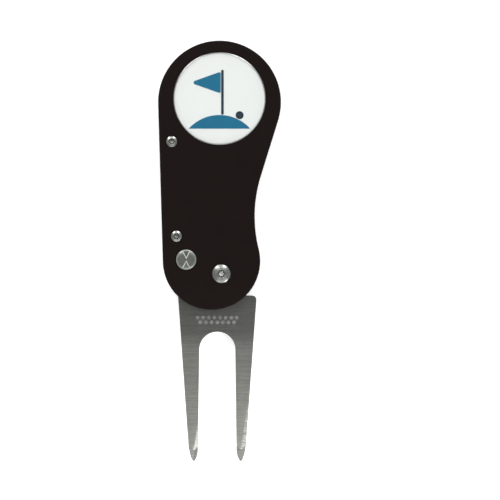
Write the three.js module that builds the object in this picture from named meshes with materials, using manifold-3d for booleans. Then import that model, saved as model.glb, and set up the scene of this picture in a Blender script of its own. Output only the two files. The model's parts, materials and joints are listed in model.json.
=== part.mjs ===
// A switchblade divot repair tool with a magnetic ball marker, lying on its back with the fork open.
//
// Frame: millimetres. +Z points out of the front cover, +Y from the tines towards the head, +X to the right
// seen from the front. The origin is the middle of the open tool's length and width, on its back face.
//
// Two covers clamp a spacer that closes the left side; the right side and the heel stay open for the fork.
// The fork turns about the pivot by half a turn, from straight out at the heel to between the covers.
// A torsion spring throws it open, a leaf latch holds it at either end, and the button frees the latch.
import * as THREE from "three";
import { mergeVertices } from "three/addons/utils/BufferGeometryUtils.js";
import Module from "manifold-3d";

const wasm = await Module();
wasm.setup();

const degree = Math.PI / 180;
const at = (x, y) => new THREE.Vector2(x, y);

// ---------------------------------------------------------------- driving dimensions

const overallLength = 115.8; // fork open, from the top of the head to the tine tips

// Handle outline: a head circle and a heel circle, joined by a straight left flank and a hollow waist.
const headRadius = 16.9;
const heelRadius = 13.4;
const waistRadius = 37.5;
const head = at(0, overallLength / 2 - headRadius);
const heel = at(-2.2, head.y - 43.7);
const waistY = head.y - 31.4;

// Layers, from the back face upwards.
const backThickness = 3.2;
const forkGap = 2.6;
const frontThickness = 4.2;
const gapFloor = backThickness;
const gapCeiling = backThickness + forkGap;
const frontFace = gapCeiling + frontThickness;
const coverChamfer = 0.4;
const seat = 0.02; // air between pieces that rest on each other
const slack = 0.05; // radial air around pins, shanks and bushes
const edgeBreak = 0.15; // the small chamfer on turned and stamped edges
const past = 1; // how far a cutter runs past the face it opens

// Fork.
const forkThickness = 2.2;
const forkFloor = gapFloor + (forkGap - forkThickness) / 2;
const forkBoreSlack = 0.07; // radial air between the fork's bore and the barrel
const closingAngle = 183 * degree; // from open to closed, anticlockwise seen from the front

// Pivot, a screw and barrel pair.
const pivot = at(0.5, head.y - 47.2);
const barrelRadius = 2.0;
const pivotHeadRadius = 2.65;
const pivotHeadSeat = frontFace - 1.1;
const barrelFlange = 1.0;
const barrelRecess = 0.15; // the barrel's flange lies this far inside the back face
const pivotShankRadius = 1.25;
const pivotRecessRadius = 1.3;
const pivotProud = 0.1; // the screw's crown stands this far out of the front face
const washerRadius = 2.85;

// Button, and the leaf latch under it.
const button = at(-9.15, head.y - 43.3);
const buttonRadius = 2.75;
const buttonProud = 0.3;
const buttonFlangeRadius = 3.3;
const buttonFlangeTop = 7.9;
const buttonFlangeThickness = 0.7;
const buttonStemRadius = 1.4;
const buttonTravel = 1.4;
const leafThickness = 0.4;
const leafFloor = 2.2;
const leafTop = leafFloor + leafThickness;
const leafPocketFloor = leafFloor - buttonTravel;
const leafHalfWidth = 1.9;
const leafScrew = at(button.x + 1.7, button.y + 15.3);
const catchTop = leafTop + 2.0;
const catchRadius = 7.85; // from the pivot to the middle of the latch's catch
const catchDepth = 0.9;
const catchWidth = 1.6;

// Cover screws and the threaded standoffs they go into.
const coverScrews = { upper: at(-13.15, head.y - 10.85), lower: at(-11.85, head.y - 36.9) };
const screwHeadRadius = 1.55;
const screwHeadSeat = frontFace - 1.0;
const screwShankRadius = 0.8;
const screwRecessRadius = 1.0;
const screwProud = 0.02;
const crownShare = 0.19; // height of a screw's dome over its head's radius
const recessShare = 0.65; // depth of a driver recess over the head's height
const standoffRadius = 1.3;
const standoffFloor = 1.6;

// Stop pin that the fork's left shoulder rests on when open.
const stopPin = at(pivot.x - 9.2, pivot.y - 4.1);
const stopPinRadius = 0.9;
const stopPinFloor = 1.6;
const stopPinTop = 7.6;

// Ball marker, its recess in the head and the magnet under it.
const marker = at(0, head.y + 0.95);
const markerRadius = 12.7;
const markerRecessRadius = 12.9;
const markerRecessFloor = frontFace - 2.2;
const markerRimTop = frontFace - 0.2;
const markerRimWidth = 0.25;
const markerCupFloor = 1.45;
const printThickness = 0.25;
const domeCrown = 0.2; // how far the clear dome rises from its edge to its middle
const magnetRadius = 4.0;
const magnetThickness = 1.2;

// Facets: how many flats stand for a circle of each size.
const fine = 64;
const medium = 32;
const coarse = 24;

// ---------------------------------------------------------------- solids

// A closed geometry as a manifold-3d solid.
function solid(geometry) {
  const bare = geometry.index ? geometry.toNonIndexed() : geometry.clone();
  bare.deleteAttribute("normal");
  bare.deleteAttribute("uv");
  const merged = mergeVertices(bare, 1e-4);
  const vertProperties = merged.attributes.position.array;
  const triVerts = new Uint32Array(merged.index.array);
  return new wasm.Manifold(new wasm.Mesh({ numProp: 3, vertProperties, triVerts }));
}

// A manifold-3d solid as a geometry with flat faces.
function geometryOf(body) {
  const mesh = body.getMesh();
  const geometry = new THREE.BufferGeometry();
  geometry.setAttribute("position", new THREE.BufferAttribute(new Float32Array(mesh.vertProperties), 3));
  geometry.setIndex(new THREE.BufferAttribute(new Uint32Array(mesh.triVerts), 1));
  const flat = geometry.toNonIndexed();
  flat.computeVertexNormals();
  return flat;
}

// A right cylinder about a vertical axis through centre, from z0 up to z1.
function disc(centre, radius, z0, z1, flats = medium) {
  const geometry = new THREE.CylinderGeometry(radius, radius, z1 - z0, flats);
  geometry.rotateX(Math.PI / 2);
  geometry.translate(centre.x, centre.y, (z0 + z1) / 2);
  return solid(geometry);
}

// An upright box between two corners of its footprint.
function block(low, high, z0, z1) {
  const geometry = new THREE.BoxGeometry(high.x - low.x, high.y - low.y, z1 - z0);
  geometry.translate((low.x + high.x) / 2, (low.y + high.y) / 2, (z0 + z1) / 2);
  return solid(geometry);
}

// A flat shape from z0 up to z1, with an optional chamfer round both faces.
function plate(shape, z0, z1, chamfer = 0, curveSegments = 16) {
  const geometry = new THREE.ExtrudeGeometry(shape, {
    depth: z1 - z0 - 2 * chamfer,
    curveSegments,
    bevelEnabled: chamfer > 0,
    bevelThickness: chamfer,
    bevelSize: chamfer,
    bevelOffset: -chamfer,
    bevelSegments: 1,
  });
  geometry.translate(0, 0, z0 + chamfer);
  return solid(geometry);
}

// A solid turned about a vertical axis through centre; profile holds [radius, z] pairs, bottom to top.
function turned(centre, profile, flats = medium) {
  const geometry = new THREE.LatheGeometry(profile.map(([r, z]) => at(r, z)), flats);
  geometry.rotateX(Math.PI / 2);
  geometry.translate(centre.x, centre.y, 0);
  return solid(geometry);
}

const cutAll = (body, tools) => tools.reduce((left, tool) => left.subtract(tool), body);

// ---------------------------------------------------------------- handle outline

// Where the arcs of the handle's outline meet, as angles about their centres.
const flank = heel.clone().sub(head);
const flankAngle = flank.angle() - Math.acos((headRadius - heelRadius) / flank.length());
const waistReach = waistRadius + heelRadius;
const waist = at(heel.x + Math.sqrt(waistReach ** 2 - (waistY - heel.y) ** 2), waistY);
const toWaist = waist.clone().sub(head);
const shoulderTurn = Math.acos((headRadius + waistRadius) / toWaist.length());
const shoulderAngle = toWaist.angle() - 2 * Math.PI + shoulderTurn;
const heelAngle = waist.clone().sub(heel).angle();

// The handle seen from the front.
function handleShape() {
  const shape = new THREE.Shape();
  shape.absarc(head.x, head.y, headRadius, shoulderAngle, flankAngle, false);
  shape.absarc(heel.x, heel.y, heelRadius, flankAngle, heelAngle + 2 * Math.PI, false);
  shape.absarc(waist.x, waist.y, waistRadius, heelAngle + Math.PI, shoulderAngle + Math.PI, true);
  shape.closePath();
  return shape;
}

// Everything between two heights, to trim a plate's chamfered face away.
function slab(z0, z1) {
  const half = at(overallLength, overallLength);
  return block(half.clone().negate(), half, z0, z1);
}

// ---------------------------------------------------------------- covers and spacer

function frontCover() {
  const blank = plate(handleShape(), gapCeiling - 2 * coverChamfer, frontFace, coverChamfer);
  const low = gapCeiling - past;
  const high = frontFace + past;
  const magnetBed = markerRecessFloor - magnetThickness - 2 * slack;
  const cuts = [
    slab(gapCeiling - 3 * coverChamfer, gapCeiling),
    disc(marker, markerRecessRadius, markerRecessFloor, high, fine),
    disc(marker, magnetRadius + slack, magnetBed, frontFace, medium),
    disc(button, buttonRadius + 2 * slack, gapCeiling, high),
    disc(button, buttonFlangeRadius + 2 * slack, low, buttonFlangeTop + slack),
    disc(pivot, barrelRadius + slack, low, frontFace),
    disc(pivot, pivotHeadRadius + 2 * slack, pivotHeadSeat, high),
    disc(stopPin, stopPinRadius + slack, low, stopPinTop + slack, coarse),
  ];
  for (const place of Object.values(coverScrews)) {
    cuts.push(disc(place, screwShankRadius + 2 * slack, low, frontFace, coarse));
    cuts.push(disc(place, screwHeadRadius + 2 * slack, screwHeadSeat, high, coarse));
  }
  return cutAll(blank, cuts);
}

// The torsion spring lies in a ring-shaped pocket round a boss that carries the back washer.
const springRadius = 3.75; // of the coil, at the middle of the wire
const springWire = 0.66;
const springPocket = { inner: 3.0, outer: 4.55, floor: 1.0 };
const springLegLength = 3.4;
const springLegAngle = -20 * degree; // where the lower leg leaves the coil

function springPocketCut() {
  const { inner, outer, floor } = springPocket;
  const top = gapFloor + past;
  const slotWidth = springWire + 0.3;
  const slotLength = springLegLength + 0.8;
  const ring = disc(pivot, outer, floor, top);
  const boss = disc(pivot, inner, floor - past, top + past);
  const slot = new THREE.BoxGeometry(slotWidth, slotLength, top - floor);
  slot.translate(springRadius, -springLegLength / 2, (top + floor) / 2);
  slot.rotateZ(springLegAngle);
  slot.translate(pivot.x, pivot.y, 0);
  return ring.subtract(boss).add(solid(slot));
}

// The latch's leaf is clamped on a ledge and swings down into the deep part of its pocket.
function leafShape(clearance) {
  const catchPlace = catchCentre();
  const margin = 0.5 + clearance; // of the leaf round the catch
  const right = catchPlace.x + catchDepth / 2 + margin;
  const lobe = catchWidth / 2 + margin;
  const wide = leafHalfWidth + clearance;
  const rightNeck = button.y + 3 * leafHalfWidth;
  const leftNeck = button.y + 2.8 * leafHalfWidth;
  const shape = new THREE.Shape();
  shape.moveTo(button.x - wide, button.y - wide);
  shape.lineTo(right, catchPlace.y - lobe);
  shape.lineTo(right, catchPlace.y + lobe);
  shape.lineTo(leafScrew.x + wide, rightNeck);
  shape.lineTo(leafScrew.x + wide, leafScrew.y + wide);
  shape.lineTo(leafScrew.x - wide, leafScrew.y + wide);
  shape.lineTo(leafScrew.x - wide, leftNeck);
  shape.lineTo(button.x - wide, button.y + leafHalfWidth);
  shape.closePath();
  return shape;
}

function backCover() {
  const blank = plate(handleShape(), 0, gapFloor + 2 * coverChamfer, coverChamfer);
  const clearance = 0.25;
  const top = gapFloor + past;
  const leafPocket = plate(leafShape(clearance), leafPocketFloor, top);
  const ledgeHalf = at(3 * leafHalfWidth, leafHalfWidth + clearance + past);
  const ledgeLow = at(leafScrew.x - ledgeHalf.x, leafScrew.y - leafHalfWidth);
  const ledgeHigh = leafScrew.clone().add(ledgeHalf);
  const ledge = block(ledgeLow, ledgeHigh, leafPocketFloor - past, leafFloor - seat);
  const cuts = [
    slab(gapFloor, gapFloor + 3 * coverChamfer),
    springPocketCut(),
    leafPocket.subtract(ledge),
    disc(leafScrew, screwShankRadius + slack, leafPocketFloor, gapFloor, coarse),
    disc(pivot, barrelRadius + slack, -past, top),
    disc(pivot, pivotHeadRadius + 2 * slack, -past, barrelRecess + barrelFlange),
    disc(stopPin, stopPinRadius + slack, stopPinFloor - slack, top, coarse),
  ];
  for (const place of Object.values(coverScrews)) {
    cuts.push(disc(place, standoffRadius + slack, standoffFloor - slack, top, coarse));
  }
  return cutAll(blank, cuts);
}

// The spacer runs round the top of the head, down the left flank and a little way round the heel.
// It stops short of the arc that the tine tips sweep on the right of the head.
function spineSpacer() {
  const inset = 0.15;
  const headInner = headRadius - 3.2;
  const heelInner = heelRadius - 2.8;
  const headEnd = 22 * degree;
  const headInnerEnd = 206 * degree;
  const heelEnd = 194 * degree;
  const heelInnerEnd = 165 * degree;
  const { upper, lower } = coverScrews;
  const besideLower = at(1.8, -2.6).add(lower); // the inner wall passes both standoffs
  const besideUpper = at(2.2, 2.6).add(upper);
  const shape = new THREE.Shape();
  shape.absarc(head.x, head.y, headRadius - inset, headEnd, flankAngle, false);
  shape.absarc(heel.x, heel.y, heelRadius - inset, flankAngle, heelEnd, false);
  shape.absarc(heel.x, heel.y, heelInner, heelEnd, heelInnerEnd, true);
  shape.lineTo(besideLower.x, besideLower.y);
  shape.lineTo(besideUpper.x, besideUpper.y);
  shape.absarc(head.x, head.y, headInner, headInnerEnd, headEnd, true);
  shape.closePath();
  const holes = [upper, lower].map((place) =>
    disc(place, standoffRadius + slack, gapFloor - past, gapCeiling + past, coarse),
  );
  const arcSteps = 14;
  return cutAll(plate(shape, gapFloor + seat, gapCeiling - seat, 0, arcSteps), holes);
}

// ---------------------------------------------------------------- fork

// The fork's outline in its own frame: origin on the pivot, tines towards -Y.
const fork = {
  axis: -1.15, // the tines' middle line, left of the pivot
  tangRadius: 8.2,
  shoulderHalf: 10.8, // half width at the shoulders
  rightShoulder: -6.0,
  leftShoulder: stopPin.y - pivot.y - stopPinRadius - 0.1,
  cornerRadius: 1.3,
  endHalf: 7.95, // half width where the tips begin
  tipStart: -47.2,
  tip: -(overallLength / 2 + pivot.y),
  tipHalf: 6.5, // from the middle line to a tip
  slotHalf: 4.97, // half width of the slot at its round end
  slotHalfLow: 5.3, // half width of the slot at the tips
  slotTop: -16.0,
  leftFlat: { start: -41.2, along: 0.022, across: 0.12 }, // slopes of the flat on the left tine
  rightFlat: { start: -39.2, along: 0.015, across: 0.08 },
  ridgeStart: -48.5, // where the tip's two flats begin, on the ridge between them
  ridgeFall: 0.12, // slopes of those flats: towards the tip, and away from the ridge on each side
  ridgeLeft: 0.1,
  ridgeRight: 0.2,
};

// One side of the fork, from the slot's round end down a tine and up to the tang.
// side is 1 on the right and -1 on the left.
function forkHalf(side, shoulder) {
  const x = (half) => fork.axis + side * half;
  const { slotHalf, slotHalfLow, shoulderHalf, endHalf, tip, tipHalf, tipStart } = fork;
  const slotCentre = fork.slotTop - slotHalf;
  const corner = fork.cornerRadius;
  const tangX = side * Math.sqrt(fork.tangRadius ** 2 - shoulder ** 2);
  const nose = { half: 0.25, rise: 0.1 }; // of the small round end of a tip
  const innerBow = at(slotHalfLow + 0.15, tip + 1.0); // the curves from the tine's edges to the nose
  const outerBow = at(endHalf - 0.4, tip + 1.4);
  const innerStart = tipStart - 1.4;
  const half = new THREE.Path();
  half.moveTo(x(slotHalf), slotCentre);
  half.lineTo(x(slotHalfLow), innerStart);
  half.quadraticCurveTo(x(innerBow.x), innerBow.y, x(tipHalf - nose.half), tip + nose.rise);
  half.quadraticCurveTo(x(tipHalf), tip - nose.rise, x(tipHalf + nose.half), tip + nose.rise);
  half.quadraticCurveTo(x(outerBow.x), outerBow.y, x(endHalf), tipStart);
  half.lineTo(x(shoulderHalf), shoulder - corner);
  half.quadraticCurveTo(x(shoulderHalf), shoulder, x(shoulderHalf - corner), shoulder);
  half.lineTo(tangX, shoulder);
  return half.getPoints(8);
}

function forkShape() {
  const right = forkHalf(1, fork.rightShoulder);
  const left = forkHalf(-1, fork.leftShoulder).reverse();
  const start = Math.atan2(right.at(-1).y, right.at(-1).x);
  const end = Math.atan2(left[0].y, left[0].x) + 2 * Math.PI;
  const steps = 44;
  const tang = [];
  for (let i = 1; i < steps; i++) {
    const angle = start + ((end - start) * i) / steps;
    tang.push(at(fork.tangRadius * Math.cos(angle), fork.tangRadius * Math.sin(angle)));
  }
  const arch = [];
  const archSteps = medium / 2;
  const radius = fork.slotHalf;
  for (let i = 1; i < archSteps; i++) {
    const angle = Math.PI * (1 - i / archSteps);
    const y = fork.slotTop - radius + radius * Math.sin(angle);
    arch.push(at(fork.axis + radius * Math.cos(angle), y));
  }
  return new THREE.Shape([...right, ...tang, ...left, ...arch]);
}

// The latch's catch lies on the line from the pivot to the button.
const catchAngle = button.clone().sub(pivot).angle();
function catchCentre() {
  const offset = at(catchRadius * Math.cos(catchAngle), catchRadius * Math.sin(catchAngle));
  return offset.add(pivot);
}

// A notch for the catch in the tang's rim, at an angle about the pivot, in the fork's frame.
function catchNotch(angle) {
  const clearance = 0.15;
  const reach = 3; // past the tang's rim
  const inner = catchRadius - catchDepth / 2 - clearance;
  const notch = new THREE.BoxGeometry(reach, catchWidth + 2 * clearance, forkThickness + 2 * past);
  notch.translate(inner + reach / 2, 0, forkThickness / 2);
  notch.rotateZ(angle);
  return solid(notch);
}

// A cutter over a rectangle whose underside is the plane height(x, y), to grind one flat.
function grinder(low, high, height) {
  const geometry = new THREE.BoxGeometry(1, 1, 1);
  const corners = geometry.attributes.position;
  for (let i = 0; i < corners.count; i++) {
    const x = corners.getX(i) < 0 ? low.x : high.x;
    const y = corners.getY(i) < 0 ? low.y : high.y;
    const z = corners.getZ(i) < 0 ? height(x, y) : 4 * forkThickness;
    corners.setXYZ(i, x, y, z);
  }
  return solid(geometry);
}

// The flats ground on one tine: a long one down its right edge, and two that meet in a ridge at the tip.
// Each is a plane that falls away from the face along the tine and across it.
function tipFlats(side) {
  const { along, across, start } = side > 0 ? fork.rightFlat : fork.leftFlat;
  const tipX = fork.axis + side * fork.tipHalf;
  const edge = fork.axis + (side > 0 ? fork.endHalf : -fork.slotHalfLow);
  const reach = 3.2; // wide enough for a whole tine
  const low = at(tipX - reach, fork.tip - past);
  const high = at(tipX + reach, start + reach);
  const face = forkThickness;
  const ridge = (y) => face + fork.ridgeFall * (y - fork.ridgeStart);
  const planes = [
    (x, y) => face + across * (edge - x) + along * (y - start),
    (x, y) => ridge(y) + fork.ridgeLeft * (x - tipX),
    (x, y) => ridge(y) - fork.ridgeRight * (x - tipX),
  ];
  return planes.map((plane) => grinder(low, high, plane));
}

const springLegHoleAngle = 115 * degree; // where the spring's upper leg enters the open fork

function forkBody() {
  const blank = plate(forkShape(), 0, forkThickness, 0.5 * edgeBreak);
  const legHole = at(springRadius, 0).rotateAround(at(0, 0), springLegHoleAngle);
  const top = forkThickness + past;
  return cutAll(blank, [
    disc(at(0, 0), barrelRadius + forkBoreSlack, -past, top),
    disc(legHole, springWire / 2 + 2 * slack, -past, top, coarse),
    catchNotch(catchAngle),
    catchNotch(catchAngle - closingAngle),
    ...tipFlats(-1),
    ...tipFlats(1),
  ]);
}

// ---------------------------------------------------------------- pivot, spring and latch

// A six-lobed driver recess, as a cutter from z0 upwards.
function lobedRecess(centre, radius, z0, z1) {
  const steps = 48;
  const wave = 0.13; // how deep the lobes are, as a share of the radius
  const points = [];
  for (let i = 0; i < steps; i++) {
    const angle = (2 * Math.PI * i) / steps;
    const r = radius * (1 - wave + wave * Math.cos(6 * angle));
    points.push(at(centre.x + r * Math.cos(angle), centre.y + r * Math.sin(angle)));
  }
  return plate(new THREE.Shape(points), z0, z1);
}

// A screw with a low domed head and a driver recess. size holds its head's, shank's and recess's radius.
// The head's underside is at seatZ, its crown at topZ and the shank's end at endZ.
function screw(centre, size, seatZ, topZ, endZ, flats) {
  const crown = crownShare * size.head;
  const domeRadius = (size.head ** 2 + crown ** 2) / (2 * crown);
  const dome = [1, 0.75, 0.5].map((share) => {
    const r = share * size.head;
    return [r, topZ - domeRadius + Math.sqrt(domeRadius ** 2 - r ** 2)];
  });
  const lead = 0.2; // the chamfer at the shank's end
  const body = turned(
    centre,
    [
      [0, endZ],
      [size.shank - lead, endZ],
      [size.shank, endZ + lead],
      [size.shank, seatZ],
      [size.head, seatZ],
      ...dome,
      [0, topZ],
    ],
    flats,
  );
  const recessFloor = topZ - recessShare * (topZ - seatZ);
  return body.subtract(lobedRecess(centre, size.recess, recessFloor, topZ + past));
}

function pivotBarrel() {
  const top = pivotHeadSeat - 2 * slack;
  const flangeTop = barrelRecess + barrelFlange - seat;
  const bore = pivotShankRadius + slack;
  const boreFloor = 2.2;
  const slotDepth = 0.45;
  const slotHalf = at(1.9, 0.35);
  const slotLow = pivot.clone().sub(slotHalf);
  const slotHigh = pivot.clone().add(slotHalf);
  return turned(pivot, [
    [0, barrelRecess],
    [pivotHeadRadius - edgeBreak, barrelRecess],
    [pivotHeadRadius, barrelRecess + edgeBreak],
    [pivotHeadRadius, flangeTop],
    [barrelRadius, flangeTop],
    [barrelRadius, top],
    [bore, top],
    [bore, boreFloor],
    [0, boreFloor],
  ]).subtract(block(slotLow, slotHigh, -past, barrelRecess + slotDepth));
}

function washer(z0, z1) {
  const bore = disc(pivot, barrelRadius + slack, z0 - past, z1 + past);
  return disc(pivot, washerRadius, z0, z1).subtract(bore);
}

// The torsion spring: a tangential lower leg in the back cover's slot, two and a bit turns, and an upper
// leg that stands up into the fork.
function torsionSpring() {
  const low = springPocket.floor + slack + springWire / 2;
  const high = forkFloor - 1.6 * slack - springWire / 2;
  const start = springLegAngle;
  const end = springLegHoleAngle + 4 * Math.PI;
  const turnSteps = 54;
  const points = [];
  for (const reach of [1, 0.6, 0.25]) {
    const leg = springLegLength * reach;
    const x = springRadius * Math.cos(start) + leg * Math.sin(start);
    const y = springRadius * Math.sin(start) - leg * Math.cos(start);
    points.push(new THREE.Vector3(x, y, low));
  }
  for (let i = 0; i <= turnSteps; i++) {
    const share = i / turnSteps;
    const angle = start + (end - start) * share;
    const z = low + (high - low) * share;
    points.push(new THREE.Vector3(springRadius * Math.cos(angle), springRadius * Math.sin(angle), z));
  }
  for (const rise of [0.5, 1.0, 1.6]) {
    const angle = springLegHoleAngle + 0.02;
    const x = springRadius * Math.cos(angle);
    const y = springRadius * Math.sin(angle);
    points.push(new THREE.Vector3(x, y, high + rise));
  }
  const wire = new THREE.Shape();
  wire.absarc(0, 0, springWire / 2, 0, 2 * Math.PI, false);
  const path = new THREE.CatmullRomCurve3(points);
  const geometry = new THREE.ExtrudeGeometry(wire, { steps: 100, curveSegments: 4, extrudePath: path });
  geometry.translate(pivot.x, pivot.y, 0);
  return solid(geometry);
}

function latchLeaf() {
  const leaf = plate(leafShape(0), leafFloor, leafTop);
  const catchBox = new THREE.BoxGeometry(catchDepth, catchWidth, catchTop - leafFloor);
  catchBox.rotateZ(catchAngle);
  catchBox.translate(catchCentre().x, catchCentre().y, (catchTop + leafFloor) / 2);
  const hole = disc(leafScrew, screwShankRadius + slack, 0, leafTop + past, coarse);
  return leaf.add(solid(catchBox)).subtract(hole);
}

function latchScrew() {
  const top = gapFloor - slack;
  const end = leafPocketFloor + 2 * slack;
  const headRadius = 1.3;
  const body = turned(
    leafScrew,
    [
      [0, end],
      [screwShankRadius, end],
      [screwShankRadius, leafTop + seat],
      [headRadius, leafTop + seat],
      [headRadius, top - edgeBreak],
      [headRadius - edgeBreak, top],
      [0, top],
    ],
    coarse,
  );
  const slotHalf = at(headRadius + slack, 0.2);
  const slotLow = leafScrew.clone().sub(slotHalf);
  const slotHigh = leafScrew.clone().add(slotHalf);
  return body.subtract(block(slotLow, slotHigh, top - 2 * edgeBreak, top + past));
}

// The button's face has a low sloping rim and two V-shaped hollows, point to point, to grip the thumb.
function lockButton() {
  const top = frontFace + buttonProud;
  const flangeFloor = buttonFlangeTop - buttonFlangeThickness;
  const rim = { width: 0.42, fall: 0.19 };
  const hollow = { tip: 0.2, reach: 2.26, halfWidth: 1.08, depth: 0.2 };
  const body = turned(button, [
    [0, leafTop + seat],
    [buttonStemRadius - edgeBreak, leafTop + seat],
    [buttonStemRadius, leafTop + seat + edgeBreak],
    [buttonStemRadius, flangeFloor],
    [buttonFlangeRadius, flangeFloor],
    [buttonFlangeRadius, buttonFlangeTop],
    [buttonRadius, buttonFlangeTop],
    [buttonRadius, top - rim.fall],
    [buttonRadius - rim.width, top],
    [0, top],
  ]);
  const hollows = [1, -1].map((side) => {
    const corners = [
      at(0, side * hollow.tip),
      at(side * hollow.halfWidth, side * hollow.reach),
      at(-side * hollow.halfWidth, side * hollow.reach),
    ];
    const shape = new THREE.Shape(corners.map((corner) => corner.add(button)));
    return plate(shape, top - hollow.depth, top + past);
  });
  return cutAll(body, hollows);
}

// ---------------------------------------------------------------- fasteners

function standoff(place) {
  const bore = screwShankRadius + slack;
  const boreFloor = standoffFloor + 0.8;
  return turned(
    place,
    [
      [0, standoffFloor],
      [standoffRadius, standoffFloor],
      [standoffRadius, gapCeiling - seat],
      [bore, gapCeiling - seat],
      [bore, boreFloor],
      [0, boreFloor],
    ],
    coarse,
  );
}

function stopPinBody() {
  return turned(
    stopPin,
    [
      [0, stopPinFloor],
      [stopPinRadius - edgeBreak, stopPinFloor],
      [stopPinRadius, stopPinFloor + edgeBreak],
      [stopPinRadius, stopPinTop - edgeBreak],
      [stopPinRadius - edgeBreak, stopPinTop],
      [0, stopPinTop],
    ],
    coarse,
  );
}

// ---------------------------------------------------------------- ball marker

const cupFloor = markerRecessFloor + seat;
const printRadius = markerRadius - markerRimWidth - 0.6 * slack;
const printFloor = cupFloor + markerCupFloor + seat;

function markerCup() {
  const rimInner = markerRadius - markerRimWidth;
  const heel = 2 * edgeBreak; // the wide chamfer round the cup's underside
  return turned(
    marker,
    [
      [0, cupFloor],
      [markerRadius - heel, cupFloor],
      [markerRadius, cupFloor + heel],
      [markerRadius, markerRimTop - 0.5 * edgeBreak],
      [markerRadius - 0.5 * edgeBreak, markerRimTop],
      [rimInner, markerRimTop],
      [rimInner, cupFloor + markerCupFloor],
      [0, cupFloor + markerCupFloor],
    ],
    fine,
  );
}

// The clear resin over the printed disc, domed a little above the rim.
function markerDome() {
  const floor = printFloor + printThickness + seat;
  const edge = markerRimTop - edgeBreak / 3;
  const profile = [
    [0, floor],
    [printRadius, floor],
    [printRadius, edge],
  ];
  const rings = 5;
  for (let i = 1; i < rings; i++) {
    const share = 1 - i / rings;
    profile.push([printRadius * share, edge + domeCrown * (1 - share ** 2)]);
  }
  profile.push([0, edge + domeCrown]);
  return turned(marker, profile, fine);
}

// ---------------------------------------------------------------- assembly

const materials = {
  cover: { color: 0x231c1c, roughness: 0.55, metalness: 0.2 },
  spacer: { color: 0x1f1f20, roughness: 0.7, metalness: 0.0 },
  fork: { color: 0x9a9b95, roughness: 0.35, metalness: 1.0 },
  steel: { color: 0xb4b6b0, roughness: 0.3, metalness: 1.0 },
  springSteel: { color: 0x6f7072, roughness: 0.4, metalness: 1.0 },
  bronze: { color: 0xa07a45, roughness: 0.4, metalness: 1.0 },
  brass: { color: 0xb59a55, roughness: 0.4, metalness: 1.0 },
  magnet: { color: 0x8d9094, roughness: 0.25, metalness: 1.0 },
  cup: { color: 0xc9cac6, roughness: 0.2, metalness: 1.0 },
  print: { color: 0xecf1ed, roughness: 0.4, metalness: 0.0 },
  resin: { color: 0xf6faf8, roughness: 0.05, metalness: 0.0, transparent: true, opacity: 0.3 },
};

const tool = new THREE.Group();

// Puts a solid into the tool as one named mesh.
function add(name, finish, body) {
  const mesh = new THREE.Mesh(geometryOf(body), new THREE.MeshStandardMaterial(materials[finish]));
  mesh.name = name;
  tool.add(mesh);
  return mesh;
}

add("back_cover", "cover", backCover());
add("front_cover", "cover", frontCover());
add("spine_spacer", "spacer", spineSpacer());

add("fork", "fork", forkBody()).position.set(pivot.x, pivot.y, forkFloor);

const pivotScrew = { head: pivotHeadRadius, shank: pivotShankRadius, recess: pivotRecessRadius };
const pivotScrewEnd = 3.4;
add("pivot_barrel", "steel", pivotBarrel());
add(
  "pivot_screw",
  "steel",
  screw(pivot, pivotScrew, pivotHeadSeat + seat, frontFace + pivotProud, pivotScrewEnd, medium),
);
add("back_washer", "bronze", washer(gapFloor + seat, forkFloor - seat));
add("front_washer", "bronze", washer(forkFloor + forkThickness + seat, gapCeiling - seat));
add("torsion_spring", "springSteel", torsionSpring());

add("latch_leaf", "springSteel", latchLeaf());
add("latch_screw", "steel", latchScrew());
add("lock_button", "steel", lockButton());
add("stop_pin", "steel", stopPinBody());

const coverScrew = { head: screwHeadRadius, shank: screwShankRadius, recess: screwRecessRadius };
const coverScrewEnd = 2.7;
for (const [name, place] of Object.entries(coverScrews)) {
  add("standoff_" + name, "brass", standoff(place));
  add(
    "cover_screw_" + name,
    "steel",
    screw(place, coverScrew, screwHeadSeat + seat, frontFace + screwProud, coverScrewEnd, coarse),
  );
}

const magnetTop = markerRecessFloor - slack;
add("marker_magnet", "magnet", disc(marker, magnetRadius, magnetTop - magnetThickness, magnetTop, medium));
add("marker_cup", "cup", markerCup());
add("marker_print", "print", disc(marker, printRadius, printFloor, printFloor + printThickness, fine));
add("marker_dome", "resin", markerDome());

export default tool;
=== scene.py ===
"""A switchblade divot repair tool with a magnetic ball marker, lying open on a pale floor.

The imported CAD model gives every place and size; this script makes the fine surface of each piece around it.
Shapes are made in millimetres in the row frame, and turned into metres once they are finished.
"""

import json
import math

import bmesh
import bpy
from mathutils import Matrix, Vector


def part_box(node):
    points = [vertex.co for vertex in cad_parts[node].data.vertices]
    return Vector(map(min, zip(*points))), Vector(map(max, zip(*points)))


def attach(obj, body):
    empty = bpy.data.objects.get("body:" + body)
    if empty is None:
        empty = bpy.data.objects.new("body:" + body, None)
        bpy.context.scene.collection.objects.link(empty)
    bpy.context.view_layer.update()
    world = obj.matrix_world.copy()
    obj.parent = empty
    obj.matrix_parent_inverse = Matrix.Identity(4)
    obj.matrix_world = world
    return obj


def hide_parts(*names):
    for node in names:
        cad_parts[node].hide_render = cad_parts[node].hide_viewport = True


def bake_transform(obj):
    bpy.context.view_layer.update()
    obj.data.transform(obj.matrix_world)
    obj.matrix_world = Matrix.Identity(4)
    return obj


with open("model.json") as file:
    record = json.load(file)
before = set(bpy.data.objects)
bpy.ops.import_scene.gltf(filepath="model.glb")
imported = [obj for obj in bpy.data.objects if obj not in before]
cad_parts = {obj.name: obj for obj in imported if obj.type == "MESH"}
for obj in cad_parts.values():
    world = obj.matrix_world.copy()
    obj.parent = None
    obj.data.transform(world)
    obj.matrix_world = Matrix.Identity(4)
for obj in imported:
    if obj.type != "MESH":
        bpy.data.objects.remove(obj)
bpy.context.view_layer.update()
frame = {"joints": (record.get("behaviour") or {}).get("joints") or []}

MM = 0.001


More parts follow.
